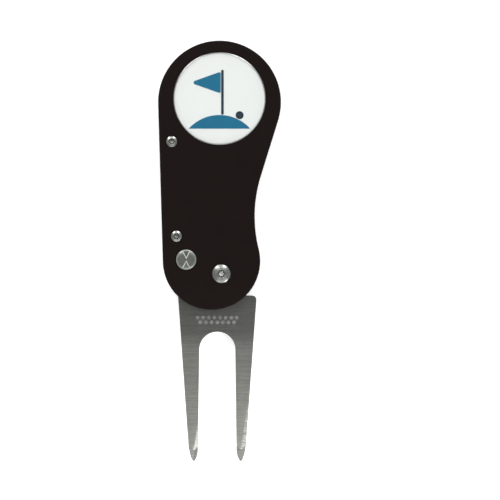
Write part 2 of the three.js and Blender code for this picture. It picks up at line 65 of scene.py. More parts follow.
def span(node):
    """Lowest and highest corner of a CAD node, in millimetres."""
    low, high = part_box(node)
    return Vector(low) / MM, Vector(high) / MM


def middle(node):
    """The middle of a CAD node seen from the front, in millimetres."""
    low, high = span(node)
    return ((low + high) / 2).xy


# ---------------------------------------------------------------- sizes and places

# The handle: a head circle and a heel circle, a straight left flank, and a hollow waist on the right.
COVER_LOW, COVER_HIGH = span("front_cover")
HEAD_RADIUS = COVER_HIGH.x
HEAD = Vector((0, COVER_HIGH.y - HEAD_RADIUS))
HEEL_RADIUS = 13.4
HEEL = HEAD + Vector((-2.2, -43.7))
WAIST_RADIUS = 37.5
WAIST_Y = HEAD.y - 31.4

# Layers, from the back face upwards.
BACK_FACE = span("back_cover")[0].z
GAP_FLOOR = span("back_cover")[1].z
GAP_CEILING = COVER_LOW.z
FRONT_FACE = COVER_HIGH.z
SEAT = 0.02  # air between pieces that lie on each other

# What the covers carry.
PIVOT = Vector(frame["joints"][0]["pos_m"]).xy / MM
BUTTON = middle("lock_button")
SCREWS = {name: middle("cover_screw_" + name) for name in ("upper", "lower")}
STOP_PIN = middle("stop_pin")
LEAF_SCREW = middle("latch_screw")
MARKER = middle("marker_cup")
MARKER_RADIUS = (span("marker_cup")[1] - span("marker_cup")[0]).x / 2
RECESS_RADIUS = MARKER_RADIUS + 0.2
CATCH_ANGLE = math.atan2(BUTTON.y - PIVOT.y, BUTTON.x - PIVOT.x)
CATCH_RADIUS = 7.85
CLOSING_ANGLE = math.radians(frame["joints"][0]["range_deg"][1])

# ---------------------------------------------------------------- mesh building


def new_object(name, bm):
    bmesh.ops.recalc_face_normals(bm, faces=bm.faces)
    mesh = bpy.data.meshes.new(name)
    bm.to_mesh(mesh)
    bm.free()
    made = bpy.data.objects.new(name, mesh)
    bpy.context.scene.collection.objects.link(made)
    return made


def loft(rings, closed=False):
    """A closed mesh through rings of equal length: its ends are flat, or joined to each other if closed."""
    bm = bmesh.new()
    loops = [[bm.verts.new(point) for point in ring] for ring in rings]
    pairs = list(zip(loops, loops[1:]))
    if closed:
        pairs.append((loops[-1], loops[0]))
    for low, high in pairs:
        for i in range(len(low)):
            j = (i + 1) % len(low)
            bm.faces.new((low[i], low[j], high[j], high[i]))
    if not closed:
        bm.faces.new(loops[0])
        bm.faces.new(loops[-1])
    bmesh.ops.recalc_face_normals(bm, faces=bm.faces)
    return bm


def rounded(corners, closed=False, steps=5):
    """The path through corners (x, y[, fillet radius]), with an arc at each corner that has a radius."""
    path = []
    last = len(corners) - 1
    for i, corner in enumerate(corners):
        here = Vector(corner[:2])
        if len(corner) < 3 or (not closed and i in (0, last)):
            path.append(here)
            continue
        before = (Vector(corners[i - 1][:2]) - here).normalized()
        after = (Vector(corners[(i + 1) % len(corners)][:2]) - here).normalized()
        half = before.angle(after) / 2
        radius = corner[2]
        centre = here + (before + after).normalized() * radius / math.sin(half)
        start = (here + before * radius / math.tan(half) - centre).normalized()
        end = (here + after * radius / math.tan(half) - centre).normalized()
        path += [centre + radius * start.slerp(end, k / steps) for k in range(steps + 1)]
    return path


def turned(name, centre, corners, closed=False, segments=96):
    """A solid of revolution about a vertical axis through centre, from corners (r, z[, fillet radius])."""
    angles = [2 * math.pi * i / segments for i in range(segments)]
    directions = [(math.cos(a), math.sin(a)) for a in angles]
    rings = [
        [(centre.x + r * c, centre.y + r * s, z) for c, s in directions] for r, z in rounded(corners, closed)
    ]
    return new_object(name, loft(rings, closed))


def prism(name, outline, z0, z1, top=0.0, bottom=0.0, steps=4):
    """An upright solid with the given outline, its top and bottom edges rounded to those radii."""
    bm = loft([[(x, y, z) for x, y in outline] for z in (z0, z1)])
    for z, radius in ((z1, top), (z0, bottom)):
        if radius:
            edges = [e for e in bm.edges if all(abs(v.co.z - z) < 1e-4 for v in e.verts)]
            bmesh.ops.bevel(bm, geom=edges, offset=radius, segments=steps, profile=0.5, affect="EDGES")
    return new_object(name, bm)


def arc(centre, radius, start, end, steps):
    """Points on an arc from one angle to another, ends included."""
    angles = [start + (end - start) * i / steps for i in range(steps + 1)]
    return [centre + radius * Vector((math.cos(a), math.sin(a))) for a in angles]


def joined(*objects):
    """One object of several meshes that don't touch."""
    bm = bmesh.new()
    for each in objects:
        bm.from_mesh(each.data)
    made = new_object(objects[0].name, bm)
    for each in objects:
        bpy.data.objects.remove(each)
    return made


def combine(body, tool, operation, keep_material=False):
    """Cuts tool from body, or joins it on, and removes it; the cut's faces can keep the tool's materials."""
    modifier = body.modifiers.new("combine", "BOOLEAN")
    modifier.operation = operation
    modifier.solver = "EXACT"
    modifier.object = tool
    if keep_material:
        modifier.material_mode = "TRANSFER"
    depsgraph = bpy.context.evaluated_depsgraph_get()
    body.data = bpy.data.meshes.new_from_object(body.evaluated_get(depsgraph))
    body.modifiers.clear()
    bpy.data.objects.remove(tool)


def carve(body, *tools):
    for tool in tools:
        combine(body, tool, "DIFFERENCE")


def around(centre, angle, x, y):
    """A point given along and across a direction from a centre."""
    c, s = math.cos(angle), math.sin(angle)
    return centre + Vector((x * c - y * s, x * s + y * c))


def rectangle(xs, ys):
    """The corners of a rectangle, anticlockwise, from its x and y ranges."""
    return ((xs[0], ys[0]), (xs[1], ys[0]), (xs[1], ys[1]), (xs[0], ys[1]))


def block(centre, angle, xs, ys, zs):
    """A box from its ranges, with x and y given along and across a direction from a centre."""
    return prism("block", [around(centre, angle, x, y) for x, y in rectangle(xs, ys)], *zs)


def drill(centre, radius, low, high, segments=48):
    """A cutter for a plain round hole."""
    return turned("drill", centre, [(radius, low), (radius, high)], segments=segments)


def paint(piece, *materials):
    """Gives a piece material slots; a face uses the first one until it is given another."""
    for material in materials:
        piece.data.materials.append(material)


SHARP = math.radians(33)


def finish(piece, body, finish_slot, material, *nodes):
    """Sets a finished piece's shading and material, turns it into metres and hides the CAD nodes whose place
    it takes.

    material is None for a piece that has its materials, and body is None for one that is left unattached.
    """
    bm = bmesh.new()
    bm.from_mesh(piece.data)
    bmesh.ops.remove_doubles(bm, verts=bm.verts, dist=1e-4)
    bmesh.ops.dissolve_degenerate(bm, edges=bm.edges, dist=1e-4)
    bmesh.ops.scale(bm, vec=(MM, MM, MM), verts=bm.verts)
    for face in bm.faces:
        face.smooth = True
    bm.to_mesh(piece.data)
    bm.free()
    piece.data.set_sharp_from_angle(angle=SHARP)
    if material:
        piece.data.materials.clear()
        paint(piece, material)
    normals = piece.modifiers.new("weighted_normals", "WEIGHTED_NORMAL")
    normals.keep_sharp = True
    if body:
        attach(piece, body)
    if nodes:
        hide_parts(*nodes)


# ---------------------------------------------------------------- materials


class Finish:
    """A node material around one Principled shader, with its texture coordinates in millimetres."""

    def __init__(self, name, roughness=0.4, metallic=0.0, **sockets):
        self.material = bpy.data.materials.new(name)
        self.material.use_nodes = True
        self.tree = self.material.node_tree
        self.shader = self.tree.nodes["Principled BSDF"]
        self.shader.inputs["Roughness"].default_value = roughness
        self.shader.inputs["Metallic"].default_value = metallic
        for socket, value in sockets.items():
            self.shader.inputs[socket.replace("_", " ")].default_value = value
        coordinates = self.add("ShaderNodeTexCoord")
        inputs = {0: coordinates.outputs["Object"], "Scale": 1 / MM}
        self.place = self.add("ShaderNodeVectorMath", inputs, operation="SCALE")

    def add(self, kind, inputs=None, **settings):
        """A node, with its inputs set to values or linked to sockets; a node stands for its first output."""
        node = self.tree.nodes.new(kind)
        for key, value in settings.items():
            setattr(node, key, value)
        for key, value in (inputs or {}).items():
            if isinstance(value, bpy.types.Node):
                value = value.outputs[0]
            if isinstance(value, bpy.types.NodeSocket):
                self.tree.links.new(value, node.inputs[key])
            else:
                node.inputs[key].default_value = value
        return node

    def math(self, operation, a, b=0.0):
        return self.add("ShaderNodeMath", {0: a, 1: b}, operation=operation)

    def stretched(self, scale, centre=(0, 0, 0)):
        """The place in millimetres, times a scale for each axis."""
        moved = self.add("ShaderNodeVectorMath", {0: self.place, 1: centre}, operation="SUBTRACT")
        return self.add("ShaderNodeVectorMath", {0: moved, 1: scale}, operation="MULTIPLY")

    def noise(self, vector, scale=1.0, detail=2.0, roughness=0.5):
        """Smooth noise from 0 to 1 over a vector."""
        inputs = {"Vector": vector, "Scale": scale, "Detail": detail, "Roughness": roughness}
        return self.add("ShaderNodeTexNoise", inputs)

    def rings(self, centre, scale, detail=2.0):
        """Noise that changes only with the distance from a vertical axis, as turning marks do."""
        flat = self.stretched((1, 1, 0), (centre.x, centre.y, 0))
        distance = self.add("ShaderNodeVectorMath", {0: flat}, operation="LENGTH")
        inputs = {"W": distance.outputs["Value"], "Scale": scale, "Detail": detail}
        return self.add("ShaderNodeTexNoise", inputs, noise_dimensions="1D")

    def spread(self, value, low, high, start=0.3, end=0.7):
        """A value remapped so that start to end becomes low to high."""
        inputs = {"Value": value, "From Min": start, "From Max": end, "To Min": low, "To Max": high}
        return self.add("ShaderNodeMapRange", inputs)

    def blend(self, share, first, second):
        """A colour between two, by share."""
        ramp = self.add("ShaderNodeMix", {0: share}, data_type="RGBA")
        for socket, colour in (("A", first), ("B", second)):
            entry = [i for i in ramp.inputs if i.name == socket and i.type == "RGBA"][0]
            if isinstance(colour, (bpy.types.Node, bpy.types.NodeSocket)):
                source = colour.outputs["Result"] if isinstance(colour, bpy.types.Node) else colour
                self.tree.links.new(source, entry)
            else:
                entry.default_value = (*colour, 1)
        return [o for o in ramp.outputs if o.type == "RGBA"][0]

    def bump(self, height, depth, under=None):
        """A bump of the given depth in millimetres, on top of another bump if there is one."""
        inputs = {"Height": height, "Distance": depth * MM, "Strength": 1.0}
        if under is not None:
            inputs["Normal"] = under
        return self.add("ShaderNodeBump", inputs)

    def edges(self, radius):
        """1 on edges and 0 on flats: how far a rounded normal turns away from the real one."""
        soft = self.add("ShaderNodeBevel", {"Radius": radius * MM}, samples=6)
        true = self.add("ShaderNodeNewGeometry")
        inputs = {0: soft.outputs["Normal"], 1: true.outputs["Normal"]}
        likeness = self.add("ShaderNodeVectorMath", inputs, operation="DOT_PRODUCT")
        return self.spread(likeness.outputs["Value"], 0.0, 1.0, 0.995, 0.9)

    def use(self, **sockets):
        """Links sockets of the shader and gives the material."""
        for socket, value in sockets.items():
            source = value.outputs[0] if isinstance(value, bpy.types.Node) else value
            self.tree.links.new(source, self.shader.inputs[socket.replace("_", " ")])
        return self.material


def anodised():
    """The covers: near-black with a brown cast, blasted before coating, and a little worn at the edges."""
    f = Finish("anodised_black", Specular_IOR_Level=0.05)
    grain = f.noise(f.place, 7.0, 3.0, 0.6)
    cloud = f.noise(f.place, 0.12, 4.0, 0.55)
    colour = f.blend(cloud, (0.0076, 0.0048, 0.0043), (0.0098, 0.0063, 0.0057))
    worn = f.math("MULTIPLY", f.edges(0.2), f.spread(f.noise(f.place, 0.9, 3.0), 0.0, 0.5))
    colour = f.blend(worn, colour, (0.014, 0.011, 0.0105))
    return f.use(Base_Color=colour, Roughness=f.spread(cloud, 0.50, 0.60), Normal=f.bump(grain, 0.004))


def matte_black():
    """The moulded spacer."""
    f = Finish("moulded_black", Specular_IOR_Level=0.35)
    grain = f.noise(f.place, 4.0, 4.0, 0.6)
    colour = f.blend(f.noise(f.place, 0.3), (0.009, 0.009, 0.0095), (0.014, 0.014, 0.0145))
    return f.use(Base_Color=colour, Roughness=f.spread(grain, 0.6, 0.72), Normal=f.bump(grain, 0.01))


def brushed():
    """The fork: steel brushed across its width, with painted shade that darkens it from the tips towards the
    handle.
    """
    f = Finish("brushed_steel", metallic=1.0)
    fine = f.noise(f.stretched((0.5, 16.0, 3.0)), 1.0, 3.0, 0.6)
    coarse = f.noise(f.stretched((0.12, 5.0, 1.0)), 1.0, 2.0, 0.5)
    cloud = f.noise(f.place, 0.12, 3.0)
    streak = f.math("ADD", f.math("MULTIPLY", fine, 0.6), f.math("MULTIPLY", coarse, 0.4))
    scratch = f.noise(f.stretched((0.15, 9.0, 3.0)), 1.0, 1.0)
    colour = f.blend(f.spread(streak, 0.0, 1.0, 0.4, 0.6), (0.31, 0.315, 0.285), (0.49, 0.495, 0.445))
    colour = f.blend(f.spread(cloud, 0.0, 0.35), colour, (0.42, 0.405, 0.41))
    colour = f.blend(f.spread(scratch, 0.0, 0.6, 0.66, 0.72), colour, (0.58, 0.59, 0.54))
    # Painted shade: towards the handle the colour is blended into a dark steel, more strongly above the slot;
    # tarnish below names this painted shade, not real tarnish.
    along = f.add("ShaderNodeSeparateXYZ", {0: f.place}).outputs["Y"]
    slot_end = SLOT_TOP - SLOT_HALF
    shade_on_tines = f.spread(along, 0.0, 0.28, TIP_START, slot_end)
    shade_above_slot = f.spread(along, 0.0, 0.33, slot_end, SLOT_TOP)
    tarnish = f.math("ADD", shade_on_tines, shade_above_slot)
    colour = f.blend(tarnish, colour, (0.05, 0.055, 0.05))
    under = f.bump(coarse, 0.005)
    return f.use(Base_Color=colour, Roughness=f.spread(streak, 0.30, 0.42), Normal=f.bump(fine, 0.003, under))


def etched():
    """The frosted marks on the fork."""
    f = Finish("etched_steel", metallic=1.0)
    grain = f.noise(f.place, 6.0, 4.0, 0.7)
    colour = f.blend(grain, (0.22, 0.225, 0.215), (0.34, 0.345, 0.33))
    return f.use(Base_Color=colour, Roughness=f.spread(grain, 0.55, 0.7), Normal=f.bump(grain, 0.008))


def ground(name, light, dark, roughness):
    """Steel ground on a coarse wheel, which leaves grooves across the tine."""
    f = Finish(name, metallic=1.0)
    grooves = f.noise(f.stretched((0.35, 3.4, 0.6)), 1.0, 2.0, 0.6)
    pits = f.noise(f.place, 3.0, 2.0)
    colour = f.blend(f.spread(grooves, 0.0, 1.0, 0.35, 0.65), dark, light)
    rough = f.spread(pits, roughness - 0.06, roughness + 0.06)
    return f.use(Base_Color=colour, Roughness=rough, Normal=f.bump(grooves, 0.012))


def turned_steel(name, centre, light, dark, roughness=0.28):
    """Steel with the fine rings that a lathe leaves, and a few soft stains."""
    f = Finish(name, metallic=1.0)
    marks = f.rings(centre, 9.0, 3.0)
    stains = f.noise(f.place, 0.8, 3.0)
    colour = f.blend(f.spread(stains, 0.0, 1.0), dark, light)
    rough = f.spread(marks, roughness - 0.05, roughness + 0.07)
    return f.use(Base_Color=colour, Roughness=rough, Normal=f.bump(marks, 0.0015))


def drawn_steel():
    """Spring steel, dark from its heat treatment, with lengthwise drawing marks."""
    f = Finish("spring_steel", metallic=1.0)
    marks = f.noise(f.place, 3.0, 4.0, 0.6)
    tint = f.noise(f.place, 0.25, 2.0)
    colour = f.blend(tint, (0.13, 0.14, 0.18), (0.26, 0.24, 0.22))
    return f.use(Base_Color=colour, Roughness=f.spread(marks, 0.3, 0.45), Normal=f.bump(marks, 0.002))


def copper_alloy(name, centre, light, dark):
    """Brass or bronze with turning marks and a slightly darker tarnish in patches."""
    f = Finish(name, metallic=1.0)
    marks = f.rings(centre, 6.0, 3.0)
    tarnish = f.noise(f.place, 0.5, 4.0)
    colour = f.blend(f.spread(tarnish, 0.0, 1.0), dark, light)
    return f.use(Base_Color=colour, Roughness=f.spread(marks, 0.3, 0.42), Normal=f.bump(marks, 0.002))


def nickel(name, light, dark):
    """Nickel plate, nearly mirror bright, with faint ripples under it."""
    f = Finish(name, metallic=1.0)
    ripple = f.noise(f.place, 1.6, 3.0)
    colour = f.blend(ripple, dark, light)
    return f.use(Base_Color=colour, Roughness=f.spread(ripple, 0.2, 0.28), Normal=f.bump(ripple, 0.002))


def printed(name, light, dark):
    """Ink on the marker's disc: nearly even, with the faint unevenness of a screen print."""
    f = Finish(name, Specular_IOR_Level=0.1)
    speckle = f.noise(f.place, 5.0, 2.0)
    colour = f.blend(f.spread(speckle, 0.0, 1.0), dark, light)
    return f.use(Base_Color=colour, Roughness=f.spread(speckle, 0.35, 0.45), Normal=f.bump(speckle, 0.001))


def resin():
    """Clear resin, which lamps shine through on to the print."""
    f = Finish("clear_resin", roughness=0.03, Transmission_Weight=1.0, IOR=1.5)
    ripple = f.noise(f.place, 0.15, 2.0)
    material = f.use(Normal=f.bump(ripple, 0.02))
    output = f.tree.nodes["Material Output"]
    ray = f.add("ShaderNodeLightPath")
    clear = f.add("ShaderNodeBsdfTransparent", {"Color": (1, 1, 1, 1)})
    lighting = f.math("MAXIMUM", ray.outputs["Is Shadow Ray"], ray.outputs["Is Diffuse Ray"])
    mixed = f.add("ShaderNodeMixShader", {0: lighting, 1: f.shader, 2: clear})
    f.tree.links.new(mixed.outputs[0], output.inputs["Surface"])
    return material


BLACK = anodised()
# STEEL_LIGHT is also the pivot screw's painted highlight in its recess, and the last colour here is the cover
# screws' painted highlight there.
STEEL_LIGHT = (0.66, 0.67, 0.63)
STEEL_DARK = (0.50, 0.51, 0.47)
DULL_PAINTED_GLINT = (0.26, 0.27, 0.25)


# ---------------------------------------------------------------- handle

FLANK = HEEL - HEAD
FLANK_LEAN = math.acos((HEAD_RADIUS - HEEL_RADIUS) / FLANK.length)
FLANK_ANGLE = math.atan2(FLANK.y, FLANK.x) + 2 * math.pi - FLANK_LEAN
WAIST_REACH = WAIST_RADIUS + HEEL_RADIUS
WAIST = Vector((HEEL.x + math.sqrt(WAIST_REACH**2 - (WAIST_Y - HEEL.y) ** 2), WAIST_Y))
TO_WAIST = WAIST - HEAD
WAIST_LEAN = math.acos((HEAD_RADIUS + WAIST_RADIUS) / TO_WAIST.length)
SHOULDER_ANGLE = math.atan2(TO_WAIST.y, TO_WAIST.x) + WAIST_LEAN
HEEL_ANGLE = math.atan2(WAIST.y - HEEL.y, WAIST.x - HEEL.x)


def handle_outline():
    """The handle seen from the front, anticlockwise."""
    return (
        arc(HEAD, HEAD_RADIUS, SHOULDER_ANGLE, FLANK_ANGLE, 120)
        + arc(HEEL, HEEL_RADIUS, FLANK_ANGLE, HEEL_ANGLE + 2 * math.pi, 110)
        + arc(WAIST, WAIST_RADIUS, HEEL_ANGLE + math.pi, SHOULDER_ANGLE + math.pi, 40)[1:-1]
    )


RECESS_FLOOR = span("marker_cup")[0].z - SEAT
MAGNET_LOW, MAGNET_HIGH = span("marker_magnet")
CLEAR = 0.05  # radial air around pins and shanks
PROUD = 1.0  # how far cutters stick out of a face
OUTER_ROUND, INNER_ROUND = 0.4, 0.12  # radii of the covers' outer and inner edges
MARKER_FLARE, PIVOT_FLARE, SCREW_FLARE = 0.06, 0.14, 0.12  # how far the mouths of their holes open
PIVOT_HEAD = (span("pivot_barrel")[1].x - span("pivot_barrel")[0].x) / 2
PIVOT_SEAT = 8.9
PIVOT_SHANK = 1.25
BARREL_RADIUS = 2.0
BARREL_FLANGE = 1.0
SCREW_HEAD = 1.55
SCREW_SEAT = 9.0
SHANK_RADIUS = 0.8
BUTTON_RADIUS = 2.75
BUTTON_FLANGE = 3.3
BUTTON_FLANGE_TOP = 7.9
STANDOFF_RADIUS = 1.3
PIN_RADIUS = 0.9


def stepped_hole(inner, floor, outer, seat, flare):
    """A cutter's corners for a bore that changes its radius at a seat, and flares where it opens in front."""
    return [
        (inner, floor),
        (inner, seat),
        (outer, seat),
        (outer, FRONT_FACE - 1.6 * flare, 2.0 * flare),
        (outer + flare, FRONT_FACE + 0.1 * flare),
        (outer + flare, FRONT_FACE + PROUD),
    ]


def front_cover():
    cover = prism("cover_front", handle_outline(), GAP_CEILING, FRONT_FACE, OUTER_ROUND, INNER_ROUND)
    under = GAP_CEILING - PROUD
    magnet = (MAGNET_HIGH.x - MAGNET_LOW.x) / 2 + CLEAR
    flange, flange_top = BUTTON_FLANGE + 2 * CLEAR, BUTTON_FLANGE_TOP + CLEAR
    recess = stepped_hole(magnet, MAGNET_LOW.z - CLEAR, RECESS_RADIUS, RECESS_FLOOR, MARKER_FLARE)
    pivot_hole = stepped_hole(BARREL_RADIUS + CLEAR, under, PIVOT_HEAD + 2 * CLEAR, PIVOT_SEAT, PIVOT_FLARE)
    button_hole = stepped_hole(flange, under, BUTTON_RADIUS + 2 * CLEAR, flange_top, SCREW_FLARE)
    screw_bore = SHANK_RADIUS + 2 * CLEAR
    screw_hole = stepped_hole(screw_bore, under, SCREW_HEAD + 2 * CLEAR, SCREW_SEAT, SCREW_FLARE)
    cutters = [
        turned("marker_recess", MARKER, recess, segments=192),
        turned("pivot_hole", PIVOT, pivot_hole),
        turned("button_hole", BUTTON, button_hole),
        drill(STOP_PIN, PIN_RADIUS + CLEAR, under, span("stop_pin")[1].z + CLEAR),
    ]
    for place in SCREWS.values():
        cutters.append(turned("screw_hole", place, screw_hole, segments=64))
    carve(cover, joined(*cutters))
    finish(cover, "handle", "cover", BLACK, "front_cover")


SPRING_RADIUS = 3.75
SPRING_WIRE = 0.66
SPRING_LEG = 3.4
SPRING_LEG_ANGLE = math.radians(-20)
SPRING_TOP_ANGLE = math.radians(115)
SPRING_POCKET = (3.0, 4.55, 1.0)  # inner and outer radius, floor
LEAF_LOW, LEAF_HIGH = span("latch_leaf")
LEAF_THICKNESS = 0.4
LEAF_HALF = 1.9
LEAF_TOP = LEAF_LOW.z + LEAF_THICKNESS
LEAF_TRAVEL = frame["joints"][1]["range_m"][1] / MM
LEAF_BORE_FLOOR = 0.8
CATCH_DEPTH = 0.9
CATCH_WIDTH = 1.6


def leaf_outline(clearance, end=None):
    """The latch's leaf, from the button to its screw."""
    catch = around(PIVOT, CATCH_ANGLE, CATCH_RADIUS, 0)
    margin = 0.5 + clearance  # of the leaf round the catch
    right = catch.x + CATCH_DEPTH / 2 + margin
    lobe = CATCH_WIDTH / 2 + margin
    wide = LEAF_HALF + clearance
    end = LEAF_SCREW.y + wide if end is None else end
    corner, neck = 0.5, 1.0  # fillet radii
    return rounded(
        [
            (BUTTON.x - wide, BUTTON.y - wide, corner),
            (right, catch.y - lobe, corner),
            (right, catch.y + lobe, corner),
            (LEAF_SCREW.x + wide, BUTTON.y + 3 * LEAF_HALF, neck),
            (LEAF_SCREW.x + wide, end),
            (LEAF_SCREW.x - wide, end),
            (LEAF_SCREW.x - wide, BUTTON.y + 2.8 * LEAF_HALF, neck),
            (BUTTON.x - wide, BUTTON.y + LEAF_HALF, corner),
        ],
        closed=True,
    )


def back_cover():
    cover = prism("cover_back", handle_outline(), BACK_FACE, GAP_FLOOR, INNER_ROUND, OUTER_ROUND)
    inner, outer, floor = SPRING_POCKET
    top = GAP_FLOOR + PROUD
    half_slot = (SPRING_WIRE + 0.3) / 2
    slot_xs = (SPRING_RADIUS - half_slot, SPRING_RADIUS + half_slot)
    slot_ys = (-SPRING_LEG - 0.4, 0)
    ledge = LEAF_SCREW.y - LEAF_HALF
    clearance = 0.25
    wide = LEAF_HALF + clearance
    carve(
        cover,
        turned("spring_pocket", PIVOT, rectangle((inner, outer), (floor, top)), closed=True),
        block(PIVOT, SPRING_LEG_ANGLE, slot_xs, slot_ys, (floor, top)),
        prism("leaf_pocket", leaf_outline(clearance, ledge), LEAF_LOW.z - LEAF_TRAVEL, top),
        block(LEAF_SCREW, 0, (-wide, wide), (-LEAF_HALF - 0.3, wide), (LEAF_LOW.z - SEAT, top)),
    )
    flange = PIVOT_HEAD + 2 * CLEAR
    barrel = BARREL_RADIUS + CLEAR
    flange_top = span("pivot_barrel")[0].z + BARREL_FLANGE
    barrel_bore = [
        (flange + PIVOT_FLARE, -PROUD),
        (flange + PIVOT_FLARE, -0.1 * PIVOT_FLARE),
        (flange, 1.6 * PIVOT_FLARE, 2 * PIVOT_FLARE),
        (flange, flange_top),
        (barrel, flange_top),
        (barrel, top),
    ]
    post_floor = span("standoff_upper")[0].z - CLEAR
    pin_floor = span("stop_pin")[0].z - CLEAR
    bores = [
        turned("barrel_bore", PIVOT, barrel_bore),
        drill(STOP_PIN, PIN_RADIUS + CLEAR, pin_floor, top),
        drill(LEAF_SCREW, SHANK_RADIUS + CLEAR, LEAF_BORE_FLOOR, top),
    ]
    for place in SCREWS.values():
        bores.append(drill(place, STANDOFF_RADIUS + CLEAR, post_floor, top))
    carve(cover, joined(*bores))
    finish(cover, "handle", "cover", BLACK, "back_cover")


def spine():
    """The spacer that closes the left side and the head."""
    inset = 0.15
    head_inner = HEAD_RADIUS - 3.2
    heel_inner = HEEL_RADIUS - 2.8
    head_end, head_inner_end = math.radians(22), math.radians(206)
    heel_end, heel_inner_end = math.radians(194), math.radians(165)
    beside_lower = SCREWS["lower"] + Vector((1.8, -2.6))  # the inner wall passes both standoffs
    beside_upper = SCREWS["upper"] + Vector((2.2, 2.6))
    outline = (
        arc(HEAD, HEAD_RADIUS - inset, head_end, FLANK_ANGLE, 70)
        + arc(HEEL, HEEL_RADIUS - inset, FLANK_ANGLE, heel_end, 8)
        + arc(HEEL, heel_inner, heel_end, heel_inner_end, 14)
        + [beside_lower, beside_upper]
        + arc(HEAD, head_inner, head_inner_end, head_end, 80)
    )
    low, high = span("spine_spacer")
    body = prism("spine", outline, low.z, high.z, top=INNER_ROUND, bottom=INNER_ROUND, steps=3)
    radius = STANDOFF_RADIUS + CLEAR
    bores = [drill(place, radius, low.z - PROUD, high.z + PROUD) for place in SCREWS.values()]
    carve(body, joined(*bores))
    finish(body, "handle", "spacer", matte_black(), "spine_spacer")


# ---------------------------------------------------------------- fork

FORK_LOW, FORK_HIGH = span("fork")
FORK_AXIS = PIVOT.x - 1.15
TANG_RADIUS = 8.2
SHOULDER_HALF = 10.8
RIGHT_SHOULDER = PIVOT.y - 6.0
LEFT_SHOULDER = STOP_PIN.y - PIN_RADIUS - 0.1
CORNER = 1.3
END_HALF = 7.95
TIP_START = PIVOT.y - 47.2
TIP = FORK_LOW.y
TIP_HALF = 6.5
SLOT_HALF = 4.97
SLOT_HALF_LOW = 5.3
SLOT_TOP = PIVOT.y - 16.0


def curve_points(start, control, end, steps):
    """A quadratic curve, without its start."""
    points = []
    for i in range(1, steps + 1):
        t = i / steps
        points.append(start * (1 - t) ** 2 + control * 2 * t * (1 - t) + end * t**2)
    return points


def fork_half(side, shoulder):
    """One side of the fork, from the slot's round end to the tang; side is 1 on the right, -1 on the left."""

    def at(half, y):
        return Vector((FORK_AXIS + side * half, y))

    tang_x = PIVOT.x + side * math.sqrt(TANG_RADIUS**2 - (shoulder - PIVOT.y) ** 2)
    nose_half, nose_rise = 0.25, 0.1  # of the small round end of a tip
    inner_bow = at(SLOT_HALF_LOW + 0.15, TIP + 1.0)  # the curves from the tine's edges to the nose
    outer_bow = at(END_HALF - 0.4, TIP + 1.4)
    curves = [
        (inner_bow, at(TIP_HALF - nose_half, TIP + nose_rise), 14),
        (at(TIP_HALF, TIP - nose_rise), at(TIP_HALF + nose_half, TIP + nose_rise), 6),
        (outer_bow, at(END_HALF, TIP_START), 14),
    ]
    points = [at(SLOT_HALF, SLOT_TOP - SLOT_HALF), at(SLOT_HALF_LOW, TIP_START - 1.4)]
    for control, end, steps in curves:
        points += curve_points(points[-1], control, end, steps)
    points.append(at(SHOULDER_HALF, shoulder - CORNER))
    points += curve_points(points[-1], at(SHOULDER_HALF, shoulder), at(SHOULDER_HALF - CORNER, shoulder), 8)
    points.append(Vector((tang_x, shoulder)))
    return points


def fork_outline():
    right = fork_half(1, RIGHT_SHOULDER)
    left = fork_half(-1, LEFT_SHOULDER)[::-1]
    start = math.atan2(right[-1].y - PIVOT.y, right[-1].x - PIVOT.x)
    end = math.atan2(left[0].y - PIVOT.y, left[0].x - PIVOT.x) + 2 * math.pi
    tang = arc(PIVOT, TANG_RADIUS, start, end, 90)[1:-1]
    slot_centre = Vector((FORK_AXIS, SLOT_TOP - SLOT_HALF))
    arch = arc(slot_centre, SLOT_HALF, math.pi, 0, 40)[1:-1]
    return right + tang + left + arch


def ground_facet(xs, ys, height):
    """A cutter over a rectangle, whose underside follows height(x, y)."""
    under = [(x, y, height(x, y)) for x, y in rectangle(xs, ys)]
    over = [(x, y, FORK_HIGH.z + 9 * PROUD) for x, y in rectangle(xs, ys)]
    return new_object("facet", loft([under, over]))


# The long flat on each tine: where it starts, how it falls along and across the tine, and its ground finish,
# in a lighter copy on the left flat and a darker copy on the right one, painted light and painted shade.
LEFT_FLAT = {
    "start": PIVOT.y - 41.2,
    "along": 0.022,
    "across": 0.12,
    "finish": ("ground_edge_left_painted_light", (0.54, 0.545, 0.51), (0.36, 0.365, 0.34), 0.50),
}
RIGHT_FLAT = {
    "start": PIVOT.y - 39.2,
    "along": 0.015,
    "across": 0.08,
    "finish": ("ground_edge_right_painted_shade", (0.50, 0.505, 0.47), (0.20, 0.205, 0.19), 0.50),
}
# The two flats at a tip: where their ridge starts, and how they fall along it and to its left and right.
RIDGE_START = PIVOT.y - 48.5
RIDGE_FALL, RIDGE_LEFT, RIDGE_RIGHT = 0.12, 0.10, 0.20


